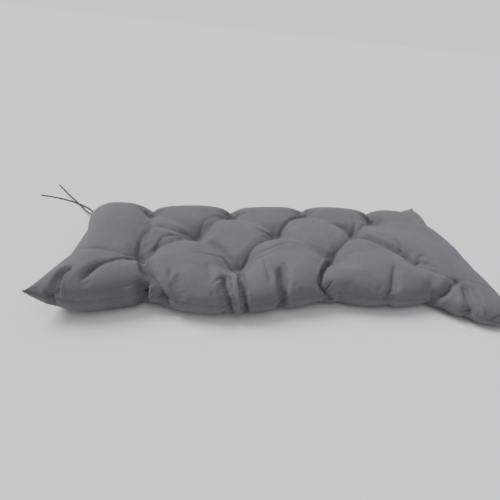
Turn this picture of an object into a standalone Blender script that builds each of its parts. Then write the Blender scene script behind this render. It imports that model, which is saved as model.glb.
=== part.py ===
"""Tufted bench cushion that lies on its back, with two tape ties at one corner.

Two cloth panels are sewn together all round and filled. Tufts pull the panels together in three
staggered rows, and the seam is drawn in at four places along each long side. Metres, +Z up. The
cushion stands on z = 0, and its own box is centred on the origin. Its front faces -Y.

The skin is worked out in two steps. A seam outline, as long and as high as the real one, carries a
crowned top panel and a bottom panel that rests flat. Valleys between the tufts and loose folds are
then pressed into both panels along their normals.
"""
import bmesh
import bpy
import numpy as np

# Panels and fill
LENGTH = 1.20
WIDTH = 0.50
END_SHOULDER = 0.085     # from the end seams in to where the fill is at its full height
SIDE_SHOULDER = 0.080    # the same from the long seams
CROWN = 0.050            # top panel above the seam
SINK = 0.004             # spare depth of the bottom panel, pressed flat by the floor
TOP_ROUNDNESS = 0.85
BOTTOM_ROUNDNESS = 0.70
BOTTOM_SHARE = 0.45      # a valley on the bottom panel, as a share of the one on top
UNDER_FULLNESS = 0.75    # how much of a corner's loss of fill is felt under the seam
LONG_CELLS = 84          # mesh cells along a panel
CROSS_CELLS = 40
FRONT_BIAS = 0.15        # how much closer together the cells are towards the front
FLAT_ANGLE = 0.001       # cells of the base that turn less than this are joined, in radians

# The seam, left to right and front to back: x, y, height, outward bow of the stretch that follows
FRONT_SEAM = (
    (-0.620, -0.249, 0.082, 0.004),
    (-0.500, -0.261, 0.055, 0.003),
    (-0.374, -0.230, 0.052, 0.012),
    (-0.129, -0.280, 0.050, -0.004),
    (0.144, -0.242, 0.058, 0.014),
    (0.396, -0.246, 0.040, 0.026),
    (0.613, -0.329, 0.022, 0.000),
)
BACK_SEAM = (
    (-0.603, 0.217, 0.020, 0.010),
    (-0.394, 0.191, 0.036, 0.012),
    (-0.128, 0.215, 0.036, 0.012),
    (0.130, 0.232, 0.036, 0.012),
    (0.389, 0.230, 0.036, 0.008),
    (0.530, 0.236, 0.040, 0.000),
    (0.599, 0.244, 0.072, 0.000),
)
LEFT_SEAM = (
    (-0.620, -0.249, 0.082, -0.003),
    (-0.590, -0.170, 0.068, 0.000),
    (-0.577, -0.110, 0.060, 0.000),
    (-0.570, 0.030, 0.050, 0.002),
    (-0.603, 0.217, 0.020, 0.000),
)
RIGHT_SEAM = (
    (0.613, -0.329, 0.022, -0.004),
    (0.600, -0.060, 0.050, 0.004),
    (0.592, 0.100, 0.052, 0.004),
    (0.599, 0.244, 0.072, 0.000),
)

# Places on the cloth are measured along it from its middle, x and y. From the shoulder it turns
# down to the seam in a quarter round, so the seams lie this far out along the cloth
ROUND_SHARE = np.pi / 2
CLOTH_END = LENGTH / 2 + END_SHOULDER * (ROUND_SHARE - 1)
CLOTH_SIDE = WIDTH / 2 + SIDE_SHOULDER * (ROUND_SHARE - 1)

# Fill that stands higher or lower than the crown: x, y, extra height, radius
SWELLS = (
    (-0.49, 0.12, 0.028, 0.12),
    (-0.25, 0.16, 0.010, 0.10),
    (0.25, 0.16, 0.008, 0.10),
    (-0.46, -0.19, 0.009, 0.10),
)

# Corners with little fill in them: side in x, side in y, share of the height lost, radius
EARS = (
    (-1, -1, 0.72, 0.10),
    (-1, 1, 0.33, 0.08),
    (1, 1, 0.82, 0.10),
    (1, -1, 0.47, 0.10),
)

TUFTS = {
    "A1": (-0.394, 0.161),
    "A2": (-0.128, 0.172),
    "A3": (0.130, 0.178),
    "A4": (0.389, 0.142),
    "B1": (-0.261, 0.021),
    "B2": (-0.005, 0.032),
    "B3": (0.263, 0.036),
    "C1": (-0.399, -0.105),
    "C2": (-0.143, -0.128),
    "C3": (0.139, -0.128),
    "C4": (0.399, -0.116),
}

# Valleys run from tuft to tuft: depth at the ends, depth in the middle, reach to each side
SLANT_VALLEY = (0.045, 0.018, 0.085)
LEFT_CROSS_VALLEY = (0.040, 0.014, 0.080)
RIGHT_CROSS_VALLEY = (0.036, 0.010, 0.080)
ROWS = ("A1", "B1", "A2", "B2", "A3", "B3", "A4"), ("C1", "B1", "C2", "B2", "C3", "B3", "C4")

# and from the outer tufts to the drawn-in places of the seam: tuft, reach, then the way
SEAM_VALLEY_DEPTHS = (0.040, 0.026)
SEAM_VALLEYS = (
    ("A1", 0.075, (-0.394, CLOTH_SIDE)),
    ("A2", 0.075, (-0.128, CLOTH_SIDE)),
    ("A3", 0.075, (0.130, CLOTH_SIDE)),
    ("A4", 0.075, (0.389, CLOTH_SIDE)),
    ("C1", 0.050, (-0.378, -0.170), (-0.350, -0.235), (-0.350, -CLOTH_SIDE)),
    ("C2", 0.075, (-0.128, -0.190), (-0.112, -CLOTH_SIDE)),
    ("C3", 0.075, (0.096, -0.185), (0.074, -0.238), (0.108, -CLOTH_SIDE)),
    ("C4", 0.075, (0.468, -0.165), (0.440, -0.222), (0.398, -CLOTH_SIDE)),
)
VALLEY_SOFTNESS = 0.08
VALLEY_BLEND = 3.0

# Loose folds: depth, half width, then the places that they run through
FOLDS = (
    # left end
    (0.002, 0.022, (-0.432, -0.107), (-0.478, -0.096), (-0.539, -0.096), (-0.584, -0.094)),
    (0.004, 0.024, (-0.450, -0.135), (-0.476, -0.160), (-0.490, -0.200)),
    (0.005, 0.020, (-0.536, -0.183), (-0.550, -0.212), (-0.538, -0.285)),
    # first drawn-in place at the front
    (0.010, 0.026, (-0.385, -0.140), (-0.359, -0.196), (-0.335, -0.233), (-0.302, -0.295)),
    # second
    (0.008, 0.024, (-0.174, -0.175), (-0.170, -0.220), (-0.150, -0.290)),
    # between it and the third
    (0.012, 0.026, (-0.028, -0.165), (-0.024, -0.220), (-0.020, -0.294)),
    # and on to the right corner
    (0.006, 0.024, (0.296, -0.160), (0.274, -0.230), (0.250, -0.294)),
    (0.007, 0.024, (0.272, 0.034), (0.310, -0.015), (0.351, -0.055), (0.385, -0.090)),
    (0.008, 0.024, (0.488, -0.175), (0.476, -0.230), (0.468, -0.294)),
    (0.005, 0.024, (-0.235, -0.005), (-0.189, -0.055), (-0.148, -0.115)),
)
ROUTE_STEPS = 8          # straight steps in each stretch of a curved line
FOLD_GROWTH = 3.0        # a fold reaches its full depth at one part in this many of its run
SEAM_FADE = 0.8          # how quickly the valleys run out towards the seam

# Ties: a tape's two free ends, sewn in at the back left corner and laid along the floor
TIE_RADIUS = 0.0025
TIE_SIDES = 2            # bevel resolution
TIE_STEP = 0.012         # between the places that its tube is bent at
TIE_FINE_STEPS = 24
TIE_GAP = 0.0003         # to the seam's corner, to the floor and to each other
TIE_STRAIGHT = 0.010     # run straight out of the corner
TIE_OUT = np.array((-0.6, 0.8, 0.0))
TIE_ACROSS = np.array((0.8, 0.6, 0.0))
FLOOR_HEIGHT = TIE_RADIUS + TIE_GAP    # the middle of a tie that lies on the floor

# Routes after the straight run, in the seam's own places: x, y, height of the tie's middle.
# The longer one crosses over the shorter one
LONG_TIE = (
    (-0.625, 0.244, 0.013),
    (-0.644, 0.270, 0.009),
    (-0.668, 0.302, 0.010),
    (-0.698, 0.341, 0.010),
    (-0.728, 0.383, 0.006),
    (-0.756, 0.423, FLOOR_HEIGHT),
    (-0.784, 0.462, FLOOR_HEIGHT),
    (-0.809, 0.497, FLOOR_HEIGHT),
)
SHORT_TIE = (
    (-0.614, 0.249, 0.011),
    (-0.626, 0.277, 0.004),
    (-0.649, 0.304, FLOOR_HEIGHT),
    (-0.698, 0.341, FLOOR_HEIGHT),
    (-0.750, 0.368, FLOOR_HEIGHT),
    (-0.798, 0.386, FLOOR_HEIGHT),
    (-0.843, 0.398, FLOOR_HEIGHT),
)

CUSHION_COLOUR = (0.124, 0.122, 0.134, 1.0)
TIE_COLOUR = (0.050, 0.049, 0.055, 1.0)
CLOTH_ROUGHNESS = 0.9


def clear_scene():
    for item in list(bpy.data.objects):
        bpy.data.objects.remove(item)


def cloth_material(name, colour):
    material = bpy.data.materials.new(name)
    material.use_nodes = True
    shader = material.node_tree.nodes["Principled BSDF"]
    shader.inputs["Base Color"].default_value = colour
    shader.inputs["Roughness"].default_value = CLOTH_ROUGHNESS
    shader.inputs["Metallic"].default_value = 0.0
    return material


def turned_down(share, half, shoulder):
    """Plan share, and what is left of the height, at a share of the way from middle to seam."""
    plan_start = 1 - shoulder / half
    cloth_start = plan_start / (plan_start + (1 - plan_start) * ROUND_SHARE)
    size = np.abs(share)
    angle = np.clip((size - cloth_start) / (1 - cloth_start), 0, 1) * np.pi / 2
    round_part = plan_start + (1 - plan_start) * np.sin(angle)
    place = np.where(size <= cloth_start, size * plan_start / cloth_start, round_part)
    return np.sign(share) * place, np.cos(angle)


def seam_side(stations, axis, outward, share):
    """Points on one side of the seam at shares of the way along axis, 0 for x and 1 for y."""
    table = np.array(stations)
    knots = (table[:, axis] - table[0, axis]) / (table[-1, axis] - table[0, axis])
    first = np.clip(np.searchsorted(knots, share, side="right") - 1, 0, len(table) - 2)
    along = (share - knots[first]) / (knots[first + 1] - knots[first])
    line = table[first, :3] + (table[first + 1, :3] - table[first, :3]) * along[..., None]
    bow = table[first, 3] * (1 - (2 * along - 1) ** 2)
    return line + bow[..., None] * np.array(outward)


def seam_sheet(across, back):
    """The sheet stretched inside the seam outline, at shares 0 to 1 in x and y."""
    front_side = seam_side(FRONT_SEAM, 0, (0, -1, 0), across)
    back_side = seam_side(BACK_SEAM, 0, (0, 1, 0), across)
    left_side = seam_side(LEFT_SEAM, 1, (-1, 0, 0), back)
    right_side = seam_side(RIGHT_SEAM, 1, (1, 0, 0), back)
    across = across[..., None]
    back = back[..., None]
    front_row = (1 - across) * np.array(FRONT_SEAM[0][:3]) + across * np.array(FRONT_SEAM[-1][:3])
    back_row = (1 - across) * np.array(BACK_SEAM[0][:3]) + across * np.array(BACK_SEAM[-1][:3])
    long_way = (1 - back) * front_side + back * back_side
    cross_way = (1 - across) * left_side + across * right_side
    return long_way + cross_way - (1 - back) * front_row - back * back_row


def smooth_route(points, steps):
    """Points on a smooth curve through the given ones."""
    given = np.array(points, dtype=float)
    ends = 2 * given[0] - given[1], 2 * given[-1] - given[-2]
    padded = np.vstack((ends[0], given, ends[1]))
    route = []
    for before, start, end, after in zip(padded, padded[1:], padded[2:], padded[3:]):
        for share in np.arange(steps) / steps:
            bend = 2 * before - 5 * start + 4 * end - after
            twist = 3 * (start - end) + after - before
            route.append(start + 0.5 * share * (end - before + share * (bend + share * twist)))
    route.append(given[-1])
    return np.array(route)


def nearest(x, y, route):
    """Distance to a route of plan points, and the share along it of the nearest place."""
    best = np.full_like(x, np.inf)
    share = np.zeros_like(x)
    count = len(route) - 1
    for step in range(count):
        start = route[step]
        run = route[step + 1] - start
        along = np.clip(((x - start[0]) * run[0] + (y - start[1]) * run[1]) / (run @ run), 0, 1)
        distance = np.hypot(x - start[0] - along * run[0], y - start[1] - along * run[1])
        closer = distance < best
        best = np.where(closer, distance, best)
        share = np.where(closer, (step + along) / count, share)
    return best, share


def valleys():
    """Each valley's route and form."""
    lines = []
    for row in ROWS:
        for start, end in zip(row, row[1:]):
            lines.append((np.array((TUFTS[start], TUFTS[end])), SLANT_VALLEY))
    lines.append((np.array((TUFTS["A1"], TUFTS["C1"])), LEFT_CROSS_VALLEY))
    lines.append((np.array((TUFTS["A4"], TUFTS["C4"])), RIGHT_CROSS_VALLEY))
    for tuft, reach, *places in SEAM_VALLEYS:
        lines.append((smooth_route((TUFTS[tuft], *places), ROUTE_STEPS), (*SEAM_VALLEY_DEPTHS, reach)))
    return lines


def valley_depth(x, y):
    """Depth of the valleys, round-backed between them and nearly sharp along them."""
    total = np.zeros_like(x)
    for route, (end_depth, middle_depth, reach) in valleys():
        distance, share = nearest(x, y, route)
        depth = middle_depth + (end_depth - middle_depth) * (2 * share - 1) ** 2
        near = np.clip(np.hypot(distance / reach, VALLEY_SOFTNESS), 0, 1)
        total += (depth * (1 - np.sqrt(1 - (1 - near) ** 2))) ** VALLEY_BLEND
    return total ** (1 / VALLEY_BLEND)


def fold_depth(x, y):
    """Depth of the loose folds, which start softly and run on to their other end."""
    total = np.zeros_like(x)
    for depth, half_width, *places in FOLDS:
        distance, share = nearest(x, y, smooth_route(places, ROUTE_STEPS))
        side = np.clip(1 - (distance / half_width) ** 2, 0, 1) ** 2
        total += depth * side * np.sin(np.pi / 2 * np.clip(FOLD_GROWTH * share, 0, 1))
    return total


def normals(points):
    cross = np.cross(np.gradient(points, axis=0), np.gradient(points, axis=1))
    return cross / np.linalg.norm(cross, axis=-1, keepdims=True)


def crown_height(x, y):
    height = np.full_like(x, CROWN)
    for swell_x, swell_y, extra, radius in SWELLS:
        height += extra * np.exp(-((x - swell_x) ** 2 + (y - swell_y) ** 2) / radius ** 2)
    return height


def corner_fullness(x, y):
    fullness = np.ones_like(x)
    for side_x, side_y, loss, radius in EARS:
        away = np.hypot(x - side_x * CLOTH_END, y - side_y * CLOTH_SIDE)
        fullness *= 1 - loss * np.exp(-(away / radius) ** 2)
    return fullness


def panels():
    """Point grids of the top and bottom panels, which share the seam's points."""
    long_share = np.linspace(-1, 1, LONG_CELLS + 1)
    cross_share = np.linspace(-1, 1, CROSS_CELLS + 1)
    cross_share -= FRONT_BIAS * (1 - cross_share ** 2)
    long_share, cross_share = np.meshgrid(long_share, cross_share, indexing="ij")
    plan_x, high_x = turned_down(long_share, LENGTH / 2, END_SHOULDER)
    plan_y, high_y = turned_down(cross_share, WIDTH / 2, SIDE_SHOULDER)
    sheet = seam_sheet((plan_x + 1) / 2, (plan_y + 1) / 2)
    height = high_x * high_y
    x = long_share * CLOTH_END
    y = cross_share * CLOTH_SIDE
    fullness = corner_fullness(x, y)
    valley = (valley_depth(x, y) * height ** SEAM_FADE)[..., None]
    fold = fold_depth(x, y)[..., None]
    under = 1 - height[..., None]

    top = sheet.copy()
    top[..., 2] += crown_height(x, y) * fullness * height ** TOP_ROUNDNESS
    top -= normals(top) * (valley + fold)

    bottom = sheet.copy()
    drop = (sheet[..., 2] + SINK) * fullness ** UNDER_FULLNESS
    bottom[..., 2] -= drop * height ** BOTTOM_ROUNDNESS
    bottom += normals(bottom) * (valley * BOTTOM_SHARE + fold * under)
    bottom[..., 2] = np.maximum(bottom[..., 2], 0)
    return top, bottom


def centre_of(points):
    """Middle of the plan box, with no height, so that the cushion stands on the origin's floor."""
    middle = (points.min(axis=0) + points.max(axis=0)) / 2
    middle[2] = 0
    return middle


def skin(top, bottom):
    """Points and faces of both panels, joined along the seam's points."""
    numbers = {}

    def number(panel, i, j):
        on_seam = i in (0, LONG_CELLS) or j in (0, CROSS_CELLS)
        return numbers.setdefault(("seam" if on_seam else panel, i, j), len(numbers))

    faces = []
    for i in range(LONG_CELLS):
        for j in range(CROSS_CELLS):
            ring = ((i, j), (i + 1, j), (i + 1, j + 1), (i, j + 1))
            faces.append([number("top", *place) for place in ring])
            faces.append([number("bottom", *place) for place in reversed(ring)])
    grids = {"top": top, "seam": top, "bottom": bottom}
    points = np.array([grids[panel][i, j] for panel, i, j in numbers])
    return points, faces


def join_flat_base(mesh):
    """Joins the cells that lie flat on the floor into large faces."""
    edit = bmesh.new()
    edit.from_mesh(mesh)
    floor_points = [point for point in edit.verts if point.co.z == 0]
    floor_edges = [edge for edge in edit.edges if all(end.co.z == 0 for end in edge.verts)]
    bmesh.ops.dissolve_limit(edit, angle_limit=FLAT_ANGLE, verts=floor_points, edges=floor_edges)
    edit.to_mesh(mesh)
    edit.free()


def make_cushion():
    points, faces = skin(*panels())
    centre = centre_of(points)
    mesh = bpy.data.meshes.new("cushion")
    mesh.from_pydata((points - centre).tolist(), [], faces)
    join_flat_base(mesh)
    mesh.shade_smooth()
    mesh.materials.append(cloth_material("cushion cloth", CUSHION_COLOUR))
    bpy.context.collection.objects.link(bpy.data.objects.new("cushion", mesh))
    return centre


def even_route(points):
    """A smooth route through the points, with places an even step apart, none under the floor."""
    fine = smooth_route(points, TIE_FINE_STEPS)
    run = np.concatenate(([0], np.cumsum(np.linalg.norm(np.diff(fine, axis=0), axis=1))))
    places = np.linspace(0, run[-1], int(round(run[-1] / TIE_STEP)) + 1)
    route = np.stack([np.interp(places, run, fine[:, axis]) for axis in range(3)], axis=1)
    route[:, 2] = np.maximum(route[:, 2], FLOOR_HEIGHT)
    return route


def make_tie(name, side, points, centre):
    """A tie that leaves the corner on one side of its middle line, -1 left or 1 right."""
    corner = np.array(BACK_SEAM[0][:3])
    start = corner + TIE_GAP * TIE_OUT + side * (TIE_RADIUS + TIE_GAP / 2) * TIE_ACROSS
    route = even_route((start, start + TIE_STRAIGHT * TIE_OUT, *points)) - centre
    curve = bpy.data.curves.new(name, "CURVE")
    curve.dimensions = "3D"
    curve.bevel_depth = TIE_RADIUS
    curve.bevel_resolution = TIE_SIDES
    curve.use_fill_caps = True
    spline = curve.splines.new("POLY")
    spline.points.add(len(route) - 1)
    for point, place in zip(spline.points, route):
        point.co = (*place, 1.0)
    curve.materials.append(cloth_material(name + " tape", TIE_COLOUR))
    bpy.context.collection.objects.link(bpy.data.objects.new(name, curve))


def main():
    clear_scene()
    centre = make_cushion()
    make_tie("tie_long", -1, LONG_TIE, centre)
    make_tie("tie_short", 1, SHORT_TIE, centre)


main()
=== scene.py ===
"""The look of a grey tufted bench cushion that lies on a pale floor.

The cushion's skin is worked out again, finer than in the solids, from the same seam, tufts, valleys
and folds. A short cloth simulation settles it, creases are pressed into it, and the seam's groove,
the tuft stitches and the two flat tape ties are added. Metres, +Z up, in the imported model's frame.
"""
import math

import bpy
import numpy as np
from mathutils import Matrix, Vector


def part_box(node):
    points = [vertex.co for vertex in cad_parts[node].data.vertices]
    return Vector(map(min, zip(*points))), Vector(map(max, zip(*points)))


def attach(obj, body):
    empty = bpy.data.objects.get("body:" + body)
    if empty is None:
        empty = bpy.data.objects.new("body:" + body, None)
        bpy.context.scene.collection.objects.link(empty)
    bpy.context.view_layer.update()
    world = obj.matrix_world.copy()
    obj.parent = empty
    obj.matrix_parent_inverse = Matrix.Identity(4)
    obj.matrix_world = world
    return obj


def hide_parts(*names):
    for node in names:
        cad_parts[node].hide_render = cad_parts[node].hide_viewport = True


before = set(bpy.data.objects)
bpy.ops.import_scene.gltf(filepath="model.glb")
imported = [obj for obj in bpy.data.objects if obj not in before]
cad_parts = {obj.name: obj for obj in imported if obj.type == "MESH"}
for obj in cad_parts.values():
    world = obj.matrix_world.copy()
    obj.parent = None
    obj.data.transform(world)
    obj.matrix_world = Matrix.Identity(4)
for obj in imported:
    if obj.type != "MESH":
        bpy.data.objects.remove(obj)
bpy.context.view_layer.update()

# Panels and fill
LENGTH = 1.20
WIDTH = 0.50
END_SHOULDER = 0.085     # from the end seams in to where the fill is at its full height
SIDE_SHOULDER = 0.080    # the same from the long seams
CROWN = 0.050            # top panel above the seam
SINK = 0.004             # spare depth of the bottom panel, pressed flat by the floor
TOP_ROUNDNESS = 0.85
BOTTOM_ROUNDNESS = 0.70
BOTTOM_SHARE = 0.45      # a valley on the bottom panel, as a share of the one on top
UNDER_FULLNESS = 0.75    # how much of a corner's loss of fill is felt under the seam

# The seam, left to right and front to back: x, y, height, outward bow of the stretch that follows
FRONT_SEAM = (
    (-0.620, -0.249, 0.082, 0.004),
    (-0.500, -0.261, 0.055, 0.003),
    (-0.374, -0.230, 0.052, 0.012),
    (-0.129, -0.280, 0.050, -0.004),
    (0.144, -0.242, 0.058, 0.014),
    (0.396, -0.246, 0.040, 0.026),
    (0.613, -0.329, 0.022, 0.000),
)
BACK_SEAM = (
    (-0.603, 0.217, 0.020, 0.010),
    (-0.394, 0.191, 0.036, 0.012),
    (-0.128, 0.215, 0.036, 0.012),
    (0.130, 0.232, 0.036, 0.012),
    (0.389, 0.230, 0.036, 0.008),
    (0.530, 0.236, 0.040, 0.000),
    (0.599, 0.244, 0.072, 0.000),
)
LEFT_SEAM = (
    (-0.620, -0.249, 0.082, -0.003),
    (-0.590, -0.170, 0.068, 0.000),
    (-0.577, -0.110, 0.060, 0.000),
    (-0.570, 0.030, 0.050, 0.002),
    (-0.603, 0.217, 0.020, 0.000),
)
RIGHT_SEAM = (
    (0.613, -0.329, 0.022, -0.004),
    (0.600, -0.060, 0.050, 0.004),
    (0.592, 0.100, 0.052, 0.004),
    (0.599, 0.244, 0.072, 0.000),
)

# Places on the cloth are measured along it from its middle, x and y. From the shoulder it turns
# down to the seam in a quarter round, so the seams lie this far out along the cloth
ROUND_SHARE = np.pi / 2
CLOTH_END = LENGTH / 2 + END_SHOULDER * (ROUND_SHARE - 1)
CLOTH_SIDE = WIDTH / 2 + SIDE_SHOULDER * (ROUND_SHARE - 1)

# Fill that stands higher or lower than the crown: x, y, extra height, radius
SWELLS = (
    (-0.49, 0.12, 0.028, 0.12),
    (-0.25, 0.16, 0.010, 0.10),
    (0.25, 0.16, 0.008, 0.10),
    (-0.46, -0.19, 0.009, 0.10),
)

# Corners with little fill in them: side in x, side in y, share of the height lost, radius
EARS = (
    (-1, -1, 0.72, 0.10),
    (-1, 1, 0.33, 0.08),
    (1, 1, 0.82, 0.10),
    (1, -1, 0.47, 0.10),
)

TUFTS = {
    "A1": (-0.394, 0.161),
    "A2": (-0.128, 0.172),
    "A3": (0.130, 0.178),
    "A4": (0.389, 0.142),
    "B1": (-0.261, 0.021),
    "B2": (-0.005, 0.032),
    "B3": (0.263, 0.036),
    "C1": (-0.399, -0.105),
    "C2": (-0.143, -0.128),
    "C3": (0.139, -0.128),
    "C4": (0.399, -0.116),
}

# Valleys run from tuft to tuft: depth at the ends, depth in the middle, reach to each side
SLANT_VALLEY = (0.045, 0.018, 0.085)
LEFT_CROSS_VALLEY = (0.040, 0.014, 0.080)
RIGHT_CROSS_VALLEY = (0.036, 0.010, 0.080)
ROWS = ("A1", "B1", "A2", "B2", "A3", "B3", "A4"), ("C1", "B1", "C2", "B2", "C3", "B3", "C4")

# and from the outer tufts to the drawn-in places of the seam: tuft, reach, then the way
SEAM_VALLEY_DEPTHS = (0.040, 0.026)
SEAM_VALLEYS = (
    ("A1", 0.075, (-0.394, CLOTH_SIDE)),
    ("A2", 0.075, (-0.128, CLOTH_SIDE)),
    ("A3", 0.075, (0.130, CLOTH_SIDE)),
    ("A4", 0.075, (0.389, CLOTH_SIDE)),
    ("C1", 0.050, (-0.378, -0.170), (-0.350, -0.235), (-0.350, -CLOTH_SIDE)),
    ("C2", 0.075, (-0.128, -0.190), (-0.112, -CLOTH_SIDE)),
    ("C3", 0.075, (0.096, -0.185), (0.074, -0.238), (0.108, -CLOTH_SIDE)),
    ("C4", 0.075, (0.468, -0.165), (0.440, -0.222), (0.398, -CLOTH_SIDE)),
)
VALLEY_SOFTNESS = 0.08
VALLEY_BLEND = 3.0

# Loose folds: depth, half width, then the places that they run through
FOLDS = (
    # left end
    (0.002, 0.022, (-0.432, -0.107), (-0.478, -0.096), (-0.539, -0.096), (-0.584, -0.094)),
    (0.004, 0.024, (-0.450, -0.135), (-0.476, -0.160), (-0.490, -0.200)),
    (0.005, 0.020, (-0.536, -0.183), (-0.550, -0.212), (-0.538, -0.285)),
    # first drawn-in place at the front
    (0.010, 0.026, (-0.385, -0.140), (-0.359, -0.196), (-0.335, -0.233), (-0.302, -0.295)),
    # second
    (0.008, 0.024, (-0.174, -0.175), (-0.170, -0.220), (-0.150, -0.290)),
    # between it and the third
    (0.012, 0.026, (-0.028, -0.165), (-0.024, -0.220), (-0.020, -0.294)),
    # and on to the right corner
    (0.006, 0.024, (0.296, -0.160), (0.274, -0.230), (0.250, -0.294)),
    (0.007, 0.024, (0.272, 0.034), (0.310, -0.015), (0.351, -0.055), (0.385, -0.090)),
    (0.008, 0.024, (0.488, -0.175), (0.476, -0.230), (0.468, -0.294)),
    (0.005, 0.024, (-0.235, -0.005), (-0.189, -0.055), (-0.148, -0.115)),
)
ROUTE_STEPS = 8          # straight steps in each stretch of a curved line
FOLD_GROWTH = 3.0        # a fold reaches its full depth at one part in this many of its run
SEAM_FADE = 0.8          # how quickly the valleys run out towards the seam

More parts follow.
